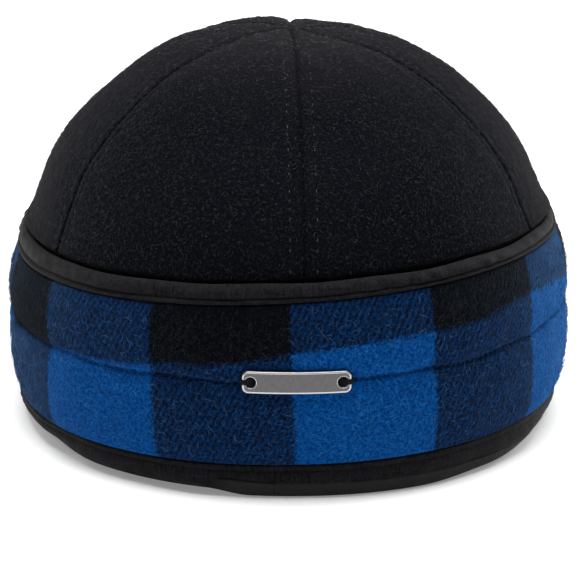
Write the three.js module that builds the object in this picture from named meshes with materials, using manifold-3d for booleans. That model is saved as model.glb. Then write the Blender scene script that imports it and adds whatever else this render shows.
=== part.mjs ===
// A wool cap with a six-piece crown, a turned-up check band and a short peak, standing on its hem.
// Millimetres and degrees. The cap's back, with the plate, faces -Y, its peak +Y, and +Z is up.
// The origin is on the surface that the cap stands on, under the middle of its box.
import * as THREE from 'three';
import { mergeVertices } from 'three/addons/utils/BufferGeometryUtils.js';
import Module from 'manifold-3d';

const wasm = await Module();
wasm.setup();

// Crown
const crownHalfWidth = 90.4;
const crownHalfLength = 108.4;
const crownHeight = 136.6;
const shoulderHeight = 70;
const crownWall = 2.5;
const planSquareness = 2.1;
const seamTurn = 1.3;
const apexSideways = 0.9;
const panelGap = 0.3;
const seamDip = 1.5;
const seamHalfWidth = 4.6;

// Earband
const bandWall = 5;
const bandAir = 3.3;
const bandBottom = 11.7;
const bandBottomLean = 1.6;
const quiltHeight = 40.2;
const quiltLean = 2.2;
const bandTop = 65.2;
const bandTopLean = 5.7;

// Bindings
const bindingHeight = 6.1;
const bindingTopLean = 3.6;
const hemThickness = 4.7;
const hemTuck = 2.9;
const hemTuckLean = 0.6;
const hemRound = 1;

// Plate
const plateLength = 35;
const plateHeight = 7.3;
const plateThickness = 1;
const plateCorner = 2;
const plateHole = 3.5;
const plateHoleInset = 2.7;

// Peak
const peakReach = 51;
const peakEndReach = 3;
const peakHalfAngle = 52;
const peakSplay = 0.2;
const peakRoundness = 0.6;
const peakWall = 3.6;
const peakDroop = 1.4;
const peakUnderBand = 2;
const peakFloorGap = 0.6;

// Cloth lies this far from what it touches
const seatGap = 0.3;

// Fineness of the faceted surfaces
const ringSteps = 72;
const peakSteps = 24;
const plateSteps = 18;
const cornerSteps = 8;

const fullTurn = 2 * Math.PI;
const lengthExtra = crownHalfLength - crownHalfWidth;
const crownSeat = crownHalfWidth + seatGap;

const degrees = (angle) => THREE.MathUtils.degToRad(angle);
const mix = THREE.MathUtils.lerp;

const signedPower = (value, power) => Math.sign(value) * Math.abs(value) ** power;

// A place on the cap's rounded outline. Angle 0 is the back's middle and a quarter turn is the right side.
function outlinePoint(halfWidth, angle, height, halfLength = halfWidth + lengthExtra) {
  const power = 2 / planSquareness;
  return new THREE.Vector3(
    halfWidth * signedPower(Math.sin(angle), power),
    -halfLength * signedPower(Math.cos(angle), power),
    height,
  );
}

// Sizes that grow a little towards the cap's right side
const leaning = (height, lean) => (angle) => height + lean * Math.sin(angle);
const bandBottomAt = leaning(bandBottom, bandBottomLean);
const quiltAt = leaning(quiltHeight, quiltLean);
const bandTopAt = leaning(bandTop, bandTopLean);
const bindingTopAt = leaning(bandTop + bindingHeight, bindingTopLean);
const hemTopAt = (angle) => bandBottomAt(angle) - seatGap;

const finishes = {
  melton: { color: 0x101218, roughness: 0.95, metalness: 0 },
  check: { color: 0x0c3f86, roughness: 0.95, metalness: 0 },
  satin: { color: 0x1b1b1d, roughness: 0.55, metalness: 0 },
  metal: { color: 0x8d8c8a, roughness: 0.32, metalness: 1 },
};

const cap = new THREE.Group();

function addPiece(name, geometry, finish) {
  const mesh = new THREE.Mesh(geometry, new THREE.MeshStandardMaterial(finishes[finish]));
  mesh.name = name;
  cap.add(mesh);
}

function solidFromFaces(points, faces) {
  const geometry = new THREE.BufferGeometry();
  const positions = points.flatMap((point) => point.toArray());
  geometry.setAttribute('position', new THREE.Float32BufferAttribute(positions, 3));
  geometry.setIndex(faces);
  return geometry;
}

// A closed ring with one section at every angle. sectionAt gives the section's points, anticlockwise
// as seen with the ring's middle on the left.
function ringSolid(sectionAt) {
  const points = [];
  const faces = [];
  const sections = Array.from({ length: ringSteps }, (_, i) => sectionAt((i * fullTurn) / ringSteps));
  const count = sections[0].length;
  sections.forEach((section) => points.push(...section));
  for (let i = 0; i < ringSteps; i += 1) {
    for (let j = 0; j < count; j += 1) {
      const near = i * count;
      const far = ((i + 1) % ringSteps) * count;
      const next = (j + 1) % count;
      faces.push(near + j, far + j, far + next);
      faces.push(near + j, far + next, near + next);
    }
  }
  return solidFromFaces(points, faces);
}

// A closed wall between two sheets of points with the same rows and columns. Seen from outside,
// the columns run to the right and the rows run up.
function wallSolid(outer, inner) {
  const rows = outer.length;
  const columns = outer[0].length;
  const points = [...outer.flat(), ...inner.flat()];
  const faces = [];
  const outside = (row, column) => row * columns + column;
  const inside = (row, column) => rows * columns + outside(row, column);
  const quad = (a, b, c, d) => faces.push(a, b, c, a, c, d);
  for (let row = 0; row < rows - 1; row += 1) {
    const up = row + 1;
    for (let column = 0; column < columns - 1; column += 1) {
      const right = column + 1;
      quad(outside(row, column), outside(row, right), outside(up, right), outside(up, column));
      quad(inside(row, column), inside(up, column), inside(up, right), inside(row, right));
    }
    const last = columns - 1;
    quad(outside(row, 0), outside(up, 0), inside(up, 0), inside(row, 0));
    quad(outside(row, last), inside(row, last), inside(up, last), outside(up, last));
  }
  const top = rows - 1;
  for (let column = 0; column < columns - 1; column += 1) {
    const right = column + 1;
    quad(outside(0, column), inside(0, column), inside(0, right), outside(0, right));
    quad(outside(top, column), outside(top, right), inside(top, right), inside(top, column));
  }
  return solidFromFaces(points, faces);
}

// The crown's outline from the hem to the top: reach is a share of the half width,
// and climb a share of the height between the rows' two ends.
const wallRows = [
  { climb: 0, reach: 1 },
  { climb: 0.5, reach: 1 },
];
const domeRows = [
  { climb: 0, reach: 1 },
  { climb: 0.1, reach: 0.986 },
  { climb: 0.2, reach: 0.961 },
  { climb: 0.31, reach: 0.924 },
  { climb: 0.42, reach: 0.872 },
  { climb: 0.54, reach: 0.799 },
  { climb: 0.65, reach: 0.716 },
  { climb: 0.75, reach: 0.626 },
  { climb: 0.84, reach: 0.525 },
  { climb: 0.91, reach: 0.416 },
  { climb: 0.96, reach: 0.29 },
  { climb: 0.99, reach: 0.15 },
  { climb: 1, reach: 0.016 },
];
const crownBottom = hemThickness + seatGap;
const crownRows = [
  ...wallRows.map(({ climb, reach }) => ({ height: mix(crownBottom, shoulderHeight, climb), reach })),
  ...domeRows.map(({ climb, reach }) => ({ height: mix(shoulderHeight, crownHeight, climb), reach })),
];

// The crown's surface without its seams. The top is drawn a little to the right.
function crownPoint(row, angle) {
  const { height, reach } = crownRows[row];
  const climbed = Math.max(0, (height - shoulderHeight) / (crownHeight - shoulderHeight));
  const point = outlinePoint(crownHalfWidth * reach, angle, height, crownHalfLength * reach);
  point.x += apexSideways * climbed;
  return point;
}

// A small turn to either side, for slopes and lengths along the outline
const sideStep = degrees(1);

function crownNormal(row, angle) {
  const along = crownPoint(row, angle + sideStep).sub(crownPoint(row, angle - sideStep));
  const above = Math.min(row + 1, crownRows.length - 1);
  const below = Math.max(row - 1, 0);
  const up = crownPoint(above, angle).sub(crownPoint(below, angle));
  return along.cross(up).normalize();
}

// How far along the outline one radian reaches
function crownStretch(row, angle) {
  return crownPoint(row, angle + sideStep).distanceTo(crownPoint(row, angle - sideStep)) / (2 * sideStep);
}

const panelNames = ['back_right', 'side_right', 'front_right', 'front_left', 'side_left', 'back_left'];
const panelShares = [0, 0.07, 0.18, 0.34, 0.5, 0.66, 0.82, 0.93, 1];

// One wedge of the crown. It is dished along its two seams, and a narrow gap parts it from its neighbours.
function crownPanel(index) {
  const panelAngle = fullTurn / panelNames.length;
  const start = degrees(seamTurn) + index * panelAngle;
  const outer = [];
  const inner = [];
  crownRows.forEach((_, row) => {
    const trim = panelGap / 2 / crownStretch(row, start + panelAngle / 2);
    const outerRow = [];
    const innerRow = [];
    panelShares.forEach((share) => {
      const angle = mix(start + trim, start + panelAngle - trim, share);
      const normal = crownNormal(row, angle);
      const fromSeam = Math.min(share, 1 - share) * panelAngle * crownStretch(row, angle);
      const dip = seamDip * Math.exp(-((fromSeam / seamHalfWidth) ** 2));
      outerRow.push(crownPoint(row, angle).addScaledVector(normal, -dip));
      innerRow.push(crownPoint(row, angle).addScaledVector(normal, -dip - crownWall));
    });
    outer.push(outerRow);
    inner.push(innerRow);
  });
  inner[0].forEach((point) => point.setZ(crownBottom));
  return wallSolid(outer, inner);
}

panelNames.forEach((name, index) => addPiece(`crown_panel_${name}`, crownPanel(index), 'melton'));

// The band's face in two quilted pads. along runs from the bottom edge, 0, over the quilting line, 1,
// to the top edge, 2. away is the share of the widest air space that the band stands off the crown.
const bandFace = [
  { along: 0, away: 0.18 },
  { along: 0.22, away: 0.72 },
  { along: 0.5, away: 1 },
  { along: 0.82, away: 0.94 },
  { along: 1, away: 0.7 },
  { along: 1.18, away: 0.93 },
  { along: 1.45, away: 1 },
  { along: 1.75, away: 0.62 },
  { along: 2, away: 0 },
];
const bandBack = [
  { along: 2, away: 0 },
  { along: 1.45, away: 0.8 },
  { along: 0.5, away: 0.8 },
  { along: 0, away: 0.18 },
];

const bandInner = (away) => crownSeat + bandAir * away;
const bandOuter = (away) => bandInner(away) + bandWall;
const bandBottomOuter = bandOuter(bandFace[0].away);
const bandTopOuter = bandOuter(bandFace[bandFace.length - 1].away);
const bandWidest = bandOuter(1);

function bandHeight(along, angle) {
  return along < 1
    ? mix(bandBottomAt(angle), quiltAt(angle), along)
    : mix(quiltAt(angle), bandTopAt(angle), along - 1);
}

function earbandSection(angle) {
  return [
    ...bandFace.map(({ along, away }) => outlinePoint(bandOuter(away), angle, bandHeight(along, angle))),
    ...bandBack.map(({ along, away }) => outlinePoint(bandInner(away), angle, bandHeight(along, angle))),
  ];
}

addPiece('earband', ringSolid(earbandSection), 'check');

// The binding over the band's top edge. across is the share of the way from the crown to the band's face,
// up the share of the binding's own height.
const bindingRows = [
  { across: 0, up: 0 },
  { across: 0.98, up: 0 },
  { across: 1.07, up: 0.16 },
  { across: 0.97, up: 0.36 },
  { across: 0.86, up: 0.46 },
  { across: 0.83, up: 0.68 },
  { across: 0.62, up: 0.92 },
  { across: 0.36, up: 1 },
  { across: 0.1, up: 0.9 },
  { across: 0, up: 0.7 },
];

function bindingSection(angle) {
  return bindingRows.map(({ across, up }) =>
    outlinePoint(
      mix(crownSeat, bandTopOuter, across),
      angle,
      mix(bandTopAt(angle) + seatGap, bindingTopAt(angle), up),
    ),
  );
}

addPiece('earband_binding', ringSolid(bindingSection), 'satin');

// The hem's rolled face from the floor to the band. tuck is the share of hemTuck that it lies inside
// the band's lower edge, and up the share of the hem's height.
const hemFace = [
  { tuck: 1, up: 0 },
  { tuck: 0.42, up: 0.13 },
  { tuck: 0.04, up: 0.42 },
  { tuck: 0, up: 0.72 },
  { tuck: 0.14, up: 0.94 },
  { tuck: 0.3, up: 1 },
];
const hemInner = crownHalfWidth - crownWall;
const hemTuckAt = leaning(hemTuck, -hemTuckLean);

function hemSection(angle) {
  const top = hemTopAt(angle);
  const depth = hemTuckAt(angle);
  return [
    outlinePoint(hemInner + hemRound, angle, 0),
    ...hemFace.map(({ tuck, up }) => outlinePoint(bandBottomOuter - depth * tuck, angle, top * up)),
    outlinePoint(crownSeat, angle, top),
    outlinePoint(crownSeat, angle, hemThickness),
    outlinePoint(hemInner, angle, hemThickness),
    outlinePoint(hemInner, angle, hemRound),
  ];
}

addPiece('hem_binding', ringSolid(hemSection), 'satin');

function manifoldOf(geometry) {
  const bare = geometry.clone();
  bare.deleteAttribute('normal');
  bare.deleteAttribute('uv');
  const merged = mergeVertices(bare);
  return new wasm.Manifold(
    new wasm.Mesh({
      numProp: 3,
      vertProperties: merged.getAttribute('position').array,
      triVerts: new Uint32Array(merged.getIndex().array),
    }),
  );
}

function geometryOf(manifold) {
  const mesh = manifold.getMesh();
  const geometry = new THREE.BufferGeometry();
  geometry.setAttribute('position', new THREE.BufferAttribute(mesh.vertProperties, 3));
  geometry.setIndex(new THREE.BufferAttribute(mesh.triVerts, 1));
  return geometry;
}

// The plate's outline with its two holes, drawn as seen from behind the cap
function plateStamp(depth) {
  const right = plateLength / 2;
  const top = plateHeight / 2;
  const shape = new THREE.Shape();
  shape.moveTo(-right + plateCorner, -top);
  shape.lineTo(right - plateCorner, -top);
  shape.absarc(right - plateCorner, -top + plateCorner, plateCorner, -Math.PI / 2, 0);
  shape.absarc(right - plateCorner, top - plateCorner, plateCorner, 0, Math.PI / 2);
  shape.absarc(-right + plateCorner, top - plateCorner, plateCorner, Math.PI / 2, Math.PI);
  shape.absarc(-right + plateCorner, -top + plateCorner, plateCorner, Math.PI, 1.5 * Math.PI);
  [-1, 1].forEach((side) => {
    const hole = new THREE.Path();
    hole.absarc(side * (right - plateHoleInset), 0, plateHole / 2, 0, fullTurn, true);
    shape.holes.push(hole);
  });
  const options = { depth, bevelEnabled: false, curveSegments: cornerSteps };
  const stamp = new THREE.ExtrudeGeometry(shape, options);
  stamp.rotateX(Math.PI / 2);
  return stamp;
}

// The plate is a strip that follows the band's curve, a little longer and higher than the plate,
// cut to the stamp's outline
const plateSeat = bandWidest + seatGap;

function plateSolid() {
  const halfAngle = Math.asin(plateLength / plateSeat);
  const strip = (reach) => [-plateHeight, plateHeight].map((rise) =>
    Array.from({ length: plateSteps + 1 }, (_, i) =>
      outlinePoint(
        plateSeat + reach,
        mix(-halfAngle, halfAngle, i / plateSteps),
        quiltHeight + rise,
      ),
    ),
  );
  const bent = manifoldOf(wallSolid(strip(plateThickness), strip(0)));
  const wholeWidth = plateSeat + plateThickness;
  const stamp = plateStamp(wholeWidth + lengthExtra);
  stamp.translate(0, 0, quiltHeight);
  return geometryOf(bent.intersect(manifoldOf(stamp)));
}

addPiece('plate', plateSolid(), 'metal');

// The peak leaves the hem's front. share runs from its left end, -1, to its right end, 1,
// and out from its root, 0, to its edge, 1.
const peakRows = [
  { out: 0, thick: 0.9 },
  { out: 0.3, thick: 1 },
  { out: 0.6, thick: 1 },
  { out: 0.85, thick: 0.95 },
  { out: 0.96, thick: 0.75 },
  { out: 1, thick: 0.35 },
];
const peakRoot = bandBottomOuter + seatGap;
const peakRootHeight = bandBottom - seatGap - peakUnderBand - peakWall / 2;
const peakEndHeight = peakFloorGap + peakDroop + peakWall / 2;

function peakPoint(share, { out, thick }, side) {
  const angle = Math.PI - share * degrees(peakHalfAngle);
  const point = outlinePoint(peakRoot, angle, 0);
  const outward = new THREE.Vector3((peakSplay * point.x) / peakRoot, 1, 0).normalize();
  const fullness = (1 - share ** 2) ** peakRoundness;
  point.addScaledVector(outward, out * mix(peakEndReach, peakReach, fullness));
  const middle = mix(peakRootHeight, peakEndHeight, share ** 2) - peakDroop * out ** 2;
  return point.setZ(middle + (side * thick * peakWall) / 2);
}

function peakSolid() {
  const sheet = (side) => peakRows.map((row) =>
    Array.from({ length: peakSteps + 1 }, (_, i) => peakPoint(mix(-1, 1, i / peakSteps), row, side)),
  );
  return wallSolid(sheet(1), sheet(-1));
}

addPiece('peak', peakSolid(), 'melton');

// The group is placed so that the origin is under the middle of the cap's box
const backEdge = -(plateSeat + plateThickness + lengthExtra);
const frontEdge = peakPoint(0, peakRows[peakRows.length - 1], 0).y;
cap.position.y = -(backEdge + frontEdge) / 2;

export default cap;
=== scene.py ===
import math

import bmesh
import bpy
import numpy as np
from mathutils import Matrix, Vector


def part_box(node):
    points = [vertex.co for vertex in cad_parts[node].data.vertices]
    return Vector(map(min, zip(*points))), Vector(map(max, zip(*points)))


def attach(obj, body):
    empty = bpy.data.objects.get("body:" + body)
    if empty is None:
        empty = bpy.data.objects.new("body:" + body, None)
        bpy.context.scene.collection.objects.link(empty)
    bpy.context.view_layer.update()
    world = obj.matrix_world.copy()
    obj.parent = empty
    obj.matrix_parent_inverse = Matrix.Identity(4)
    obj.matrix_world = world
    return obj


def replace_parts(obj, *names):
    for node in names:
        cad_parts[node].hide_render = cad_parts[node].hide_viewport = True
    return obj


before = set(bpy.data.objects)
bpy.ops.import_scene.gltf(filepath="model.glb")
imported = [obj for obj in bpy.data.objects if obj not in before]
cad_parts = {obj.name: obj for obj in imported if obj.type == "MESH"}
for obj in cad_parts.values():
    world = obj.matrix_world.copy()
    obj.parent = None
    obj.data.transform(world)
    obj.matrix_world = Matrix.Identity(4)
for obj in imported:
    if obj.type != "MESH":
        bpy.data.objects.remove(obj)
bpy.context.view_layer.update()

MM = 0.001
TURN = 2 * math.pi

# The band's outline, from the frame
band_low, band_high = ([value / MM for value in corner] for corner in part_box("earband"))
BAND_WIDEST = band_high[0]
EXTRA_LENGTH = (band_high[1] - band_low[1]) / 2 - BAND_WIDEST
MIDDLE_Y = (band_high[1] + band_low[1]) / 2
SQUARENESS = 2.1

# Band
BAND_WALL = 5.0
BAND_AIR = 3.3
BAND_BOTTOM, BAND_BOTTOM_LEAN = 11.7, 1.6
QUILT_HEIGHT, QUILT_LEAN = 40.2, 2.2
BAND_TOP, BAND_TOP_LEAN = 65.2, 5.7

# Bindings
BINDING_TOP, BINDING_TOP_LEAN = 71.3, 3.6
HEM_TUCK, HEM_TUCK_LEAN = 2.9, -0.6
HEM_ROUND = 1.0
HEM_INSIDE_TOP = 4.7

# Crown
SEAT_GAP = 0.3
CROWN_SEAT = BAND_WIDEST - BAND_WALL - BAND_AIR
CROWN_HALF_WIDTH = CROWN_SEAT - SEAT_GAP
CROWN_BOTTOM = HEM_INSIDE_TOP + SEAT_GAP
CROWN_HEIGHT = 136.6
SHOULDER_HEIGHT = 70.0
CROWN_WALL = 2.5
SEAM_TURNS = [1.3, 1.3, 1.3, -0.6, 1.3, 1.3]
APEX_SIDEWAYS = 0.9
PANELS = ["back_right", "side_right", "front_right", "front_left", "side_left", "back_left"]

# Plate
PLATE_LENGTH, PLATE_HEIGHT, PLATE_THICKNESS = 35.0, 7.3, 1.0
PLATE_CORNER = 2.0
PLATE_HOLE, PLATE_HOLE_INSET = 3.5, 2.7
PLATE_SEAT = BAND_WIDEST + SEAT_GAP

# Peak
PEAK_REACH, PEAK_END_REACH = 51.0, 3.0
PEAK_HALF_ANGLE = math.radians(52)
PEAK_SPLAY, PEAK_ROUNDNESS = 0.2, 0.6
PEAK_WALL, PEAK_DROOP = 3.6, 1.4
PEAK_UNDER_BAND, PEAK_FLOOR_GAP = 2.0, 0.6

# The check: its squares, and where one boundary each way meets the middle of the back
CHECK = 48.2
CHECK_SIDEWAYS = -1.2
CHECK_ROW_HEIGHT, CHECK_ROW_LEAN = 48.3, 11.8
CHECK_SLANT = 0.035
TWILL, TWILL_SLANT = 2.3, 0.6
# Painted sheen on the check at the cap's sides: its middle, measured from the middle of the back, its
# spread and its strength
SIDE_SHEEN_MIDDLE, SIDE_SHEEN_SPREAD, SIDE_SHEEN_STRENGTH = 135.0, 62.0, 0.17


# Shapes

def around(half_width, angle, height, extra=EXTRA_LENGTH):
    """Points on the cap's rounded outline."""
    x, y = (np.sign(side) * np.abs(side) ** (2 / SQUARENESS) for side in (np.sin(angle), np.cos(angle)))
    places = half_width * x, MIDDLE_Y - (half_width + extra) * y, height
    return np.stack(np.broadcast_arrays(*places), axis=-1)


def running(steps):
    """How far along a line each of its points lies, from the steps between them."""
    return np.concatenate([[0.0], np.cumsum(steps)])


def step_lengths(line):
    return np.linalg.norm(np.diff(line, axis=0), axis=1)


def along_line(where, lengths, values):
    """What a line's points hold at these places, when they lie at these lengths."""
    return np.stack([np.interp(where, lengths, axis) for axis in values.T], axis=-1)


ARC_ANGLES = np.linspace(-TURN / 2, 1.5 * TURN, 40001)


def arc_table(half_width):
    """How far along the outline each of ARC_ANGLES lies from the middle of the back."""
    line = around(half_width, ARC_ANGLES, 0.0)[:, :2]
    lengths = running(np.hypot(*np.diff(line, axis=0).T))
    return lengths - np.interp(0.0, ARC_ANGLES, lengths)


BAND_ARCS = arc_table(BAND_WIDEST)
HALF_ROUND = -BAND_ARCS[0]


def angle_at(arc):
    return np.interp(arc, BAND_ARCS, ARC_ANGLES)


CURVE_STEPS = 60


def smooth_line(points, shares):
    """Points on a smooth curve through the given ones, at these shares of its length."""
    points = np.array(points, float)
    knots = running(step_lengths(points))
    slopes = np.gradient(points, knots, axis=0)
    fine = np.linspace(0.0, knots[-1], CURVE_STEPS * len(points))
    index = np.clip(np.searchsorted(knots, fine, side="right") - 1, 0, len(knots) - 2)
    width = (knots[index + 1] - knots[index])[:, None]
    t = (fine - knots[index])[:, None] / width
    line = (
        (2 * t**3 - 3 * t**2 + 1) * points[index]
        + (t**3 - 2 * t**2 + t) * width * slopes[index]
        + (3 * t**2 - 2 * t**3) * points[index + 1]
        + (t**3 - t**2) * width * slopes[index + 1]
    )
    lengths = running(step_lengths(line))
    return along_line(np.asarray(shares) * lengths[-1], lengths, line)


def ripple(points, wavelength, seed, waves=9):
    """A smooth random wave over the points, about -1 to 1."""
    rng = np.random.default_rng(seed)
    total = 0.0
    for _ in range(waves):
        direction = rng.normal(size=points.shape[-1])
        direction /= np.linalg.norm(direction)
        length = wavelength * rng.uniform(0.7, 1.4)
        total = total + np.sin(points @ direction * TURN / length + rng.uniform(0, TURN))
    return total / math.sqrt(waves)


def ripples(points, *rows):
    """Ripples added up. Each row is a height, then a wavelength and a seed."""
    return sum(height * ripple(points, *rest) for height, *rest in rows)


def bell(value, width):
    return np.exp(-((value / width) ** 2))


def ease(value):
    clipped = np.clip(value, 0.0, 1.0)
    return clipped * clipped * (3 - 2 * clipped)


def stretch(value, start, growth, end, fading):
    """1 on a stretch of values, with soft ends. It grows after its start and fades before its end."""
    return ease((value - start) / growth) * ease((end - value) / fading)


def unit(vectors):
    return vectors / np.maximum(np.linalg.norm(vectors, axis=-1, keepdims=True), 1e-12)


def surface_normals(grid):
    """Normals of a grid whose columns run to the right and rows run up, seen from outside."""
    return unit(np.cross(np.gradient(grid, axis=1), np.gradient(grid, axis=0)))


# Meshes

def link(name, data):
    made = bpy.data.objects.new(name, data)
    bpy.context.scene.collection.objects.link(made)
    return made


def turn_to(thing, aim):
    thing.rotation_euler = (Vector(aim) - thing.location).to_track_quat("-Z", "Y").to_euler()


def dress(mesh, slot, *materials):
    """The piece for a mesh, of the same name."""
    for material in materials:
        mesh.materials.append(material)
    piece = link(mesh.name, mesh)
    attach(piece, "root")
    return piece


def add_piece(name, points, faces, material, slot, cloth=None):
    """A smooth mesh piece. cloth holds a place on the cloth, in millimetres, for each point."""
    mesh = bpy.data.meshes.new(name)
    mesh.from_pydata((np.reshape(points, (-1, 3)) * MM).tolist(), [], faces)
    if cloth is not None:
        attribute = mesh.attributes.new("cloth", "FLOAT_VECTOR", "POINT")
        attribute.data.foreach_set("vector", np.asarray(cloth, np.float32).ravel())
    mesh.shade_smooth()
    return dress(mesh, slot, material)


def strip_faces(columns, count):
    """Faces between the neighbouring sections of a rod or an open ring, and a cap at each end."""
    first = np.arange(columns - 1)[:, None] * count
    second = first + count
    j = np.arange(count)[None, :]
    following = (j + 1) % count
    quads = np.stack([first + j, second + j, second + following, first + following], axis=-1)
    last = (columns - 1) * count
    return quads.reshape(-1, 4).tolist() + [list(range(count)), list(range(last + count - 1, last - 1, -1))]


def wall_mesh(outer, inner, step):
    """A closed wall between two grids of points. The inner grid's faces are step times as large."""
    rows, columns = outer.shape[:2]
    grid = np.arange(rows * columns).reshape(rows, columns)
    back = grid + rows * columns
    corners = [grid[:-1, :-1], grid[:-1, 1:], grid[1:, 1:], grid[1:, :-1]]
    faces = np.stack(corners, axis=-1).reshape(-1, 4).tolist()

    for turned in (lambda side: side[0], lambda side: side[-1, ::-1], lambda side: side[::-1, 0],
                   lambda side: side[:, -1]):
        front_line, back_line = turned(grid), turned(back)
        sides = [front_line[:-1], back_line[:-1], back_line[1:], front_line[1:]]
        faces.extend(np.stack(sides, axis=-1).tolist())

    row_marks = list(range(0, rows - 1, step)) + [rows - 1]
    column_marks = list(range(0, columns - 1, step)) + [columns - 1]
    for low, high in zip(row_marks[:-1], row_marks[1:]):
        for left, right in zip(column_marks[:-1], column_marks[1:]):
            sides = [
                back[low:high if left == 0 else low + 1, left],
                back[high, left:right if high == rows - 1 else left + 1],
                back[high:low if right == columns - 1 else high - 1:-1, right],
                back[low, right:left if low == 0 else right - 1:-1],
            ]
            faces.append(np.concatenate(sides).tolist())

    points = np.concatenate([outer.reshape(-1, 3), inner.reshape(-1, 3)])
    used = np.unique(np.concatenate(faces[(rows - 1) * (columns - 1):]))
    keep = np.union1d(used, np.arange(rows * columns))
    renumber = np.full(len(points), -1)
    renumber[keep] = np.arange(len(keep))
    return points[keep], [renumber[face].tolist() for face in faces], keep


# A stitch has a point at each end and three rings between them. Its values are shares of half
# its length and half its width.
STITCH_SIDES = 6
STITCH_RINGS = [(-0.72, 0.72), (0.0, 1.0), (0.72, 0.72)]
STITCH_LOOK = 0.4
SINKING = 2.4


def stitch_shape():
    """The points and faces of one stitch."""
    points = [(-1.0, 0.0, 0.0)]
    for reach, girth in STITCH_RINGS:
        for turn in np.arange(STITCH_SIDES) * TURN / STITCH_SIDES:
            points.append((reach, girth * math.cos(turn), girth * math.sin(turn)))
    points.append((1.0, 0.0, 0.0))
    last_ring = 1 + (len(STITCH_RINGS) - 1) * STITCH_SIDES
    faces = []
    for k in range(STITCH_SIDES):
        following = (k + 1) % STITCH_SIDES
        faces.append([0, 1 + following, 1 + k])
        for near in range(1, last_ring, STITCH_SIDES):
            far = near + STITCH_SIDES
            faces.append([near + k, near + following, far + following, far + k])
        faces.append([last_ring + k, last_ring + following, len(points) - 1])
    return np.array(points), faces


def repeated(faces, count, size):
    """The faces of so many copies of a shape that has this many points."""
    return [[start + corner for corner in face] for start in range(0, count * size, size) for face in faces]


def stitch_mesh(lines, pitch, length, width, sink, uneven=0.0):
    """Short rounded stitches laid end to end along lines, each a pair of points and normals."""
    shape, shape_faces = stitch_shape()
    shape = shape * [length / 2, width / 2, width / 2]
    points = []
    for line, normals in lines:
        lengths = running(step_lengths(line))
        middles = np.arange(pitch / 2, lengths[-1], pitch)
        ahead, behind = (along_line(middles + look, lengths, line) for look in (STITCH_LOOK, -STITCH_LOOK))
        rise = unit(along_line(middles, lengths, normals))
        run = unit(ahead - behind)
        side = unit(np.cross(run, rise))
        depth = sink + uneven * (0.5 + 0.5 * np.sin(SINKING * np.arange(len(middles))))
        middle = along_line(middles, lengths, line) - rise * depth[:, None]
        points.append(middle[:, None] + shape @ np.stack([run, side, rise], axis=1))
    points = np.concatenate(points)
    return points, repeated(shape_faces, len(points), len(shape))


# Fluff: fine fibres that stand up from the wool. Each has two rings of three points between its
# tips. The densities are fibres to a square millimetre.
FIBRE_WIDTH = 0.12
FIBRE_POINTS = 8
FIBRE_FACES = np.array([
    (0, 2, 1), (0, 3, 2), (0, 1, 3), (1, 2, 5), (1, 5, 4), (2, 3, 6),
    (2, 6, 5), (3, 1, 4), (3, 4, 6), (7, 4, 5), (7, 5, 6), (7, 6, 4),
])
FIBRE_ROOT = 0.06
FIBRE_BEND, FIBRE_END_BEND = 0.4, (-0.6, 0.8)
FIBRE_LIFT, FIBRE_END_LIFT = (0.25, 1.0), (-0.3, 1.0)
BAND_FLUFF, CROWN_FLUFF = 0.34, 0.27
fluff_rng = np.random.default_rng(61)


def scatter(grid, cloth, density):
    """Random places on a grid, with normals and cloth places."""
    corners = np.cross(grid[:-1, 1:] - grid[1:, :-1], grid[1:, 1:] - grid[:-1, :-1])
    areas = np.linalg.norm(corners, axis=-1) / 2
    count = int(areas.sum() * density)
    cells = fluff_rng.choice(areas.size, count, p=areas.ravel() / areas.sum())
    row, column = np.unravel_index(cells, areas.shape)
    u, v = fluff_rng.random((2, count, 1))

    def blend(values):
        low = values[row, column] * (1 - u) + values[row, column + 1] * u
        high = values[row + 1, column] * (1 - u) + values[row + 1, column + 1] * u
        return low * (1 - v) + high * v

    return blend(grid), unit(blend(surface_normals(grid))), blend(cloth)


def add_fluff(name, roots, normals, cloth, kept, lengths, rise, material, slot):
    """A piece of curved fibres. The third value of its cloth place is a chance, 0 to 1."""
    roots, normals, cloth = roots[kept], normals[kept], cloth[kept]
    count = len(roots)

    def chance(low, high):
        return fluff_rng.uniform(low, high, (count, 1))

    length = chance(*lengths)
    way = unit(np.cross(normals, fluff_rng.normal(size=(count, 3))))
    side = np.cross(normals, way)
    bend = side * chance(-FIBRE_BEND, FIBRE_BEND) * length
    lift = normals * chance(*FIBRE_LIFT) * rise
    spine = [
        roots - normals * FIBRE_ROOT,
        roots + way * length * 0.33 + bend * 0.8 + lift * 0.8,
        roots + way * length * 0.67 + bend + lift,
        roots + way * length + bend * chance(*FIBRE_END_BEND) + lift * chance(*FIBRE_END_LIFT),
    ]
    rings = []
    for middle in spine[1:3]:
        for turn in np.arange(3) * TURN / 3:
            rings.append(middle + (side * math.cos(turn) + normals * math.sin(turn)) * FIBRE_WIDTH / 2)
    points = np.stack([spine[0], *rings, spine[3]], axis=1)
    faces = (FIBRE_FACES + FIBRE_POINTS * np.arange(count)[:, None, None]).reshape(-1, 3)
    cloth = np.column_stack([cloth[:, :2], fluff_rng.random(count)])
    add_piece(name, points, faces.tolist(), material, slot, np.repeat(cloth, FIBRE_POINTS, axis=0))


# Materials

class Value:
    """A socket's value in a material. Sums with it become Math nodes."""

    def __init__(self, socket):
        self.socket = socket
        self.tree = socket.id_data

    def maths(self, operation, other=0.0):
        return add_node(self.tree, "Math", {0: self, 1: other}, operation=operation)

    def __add__(self, other):
        return self.maths("ADD", other)

    def __sub__(self, other):
        return self.maths("SUBTRACT", other)

    def __mul__(self, other):
        return self.maths("MULTIPLY", other)

    def __abs__(self):
        return self.maths("ABSOLUTE")


def set_inputs(node, inputs):
    for key, value in inputs.items():
        if isinstance(value, Value):
            node.id_data.links.new(value.socket, node.inputs[key])
        else:
            node.inputs[key].default_value = value


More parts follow.
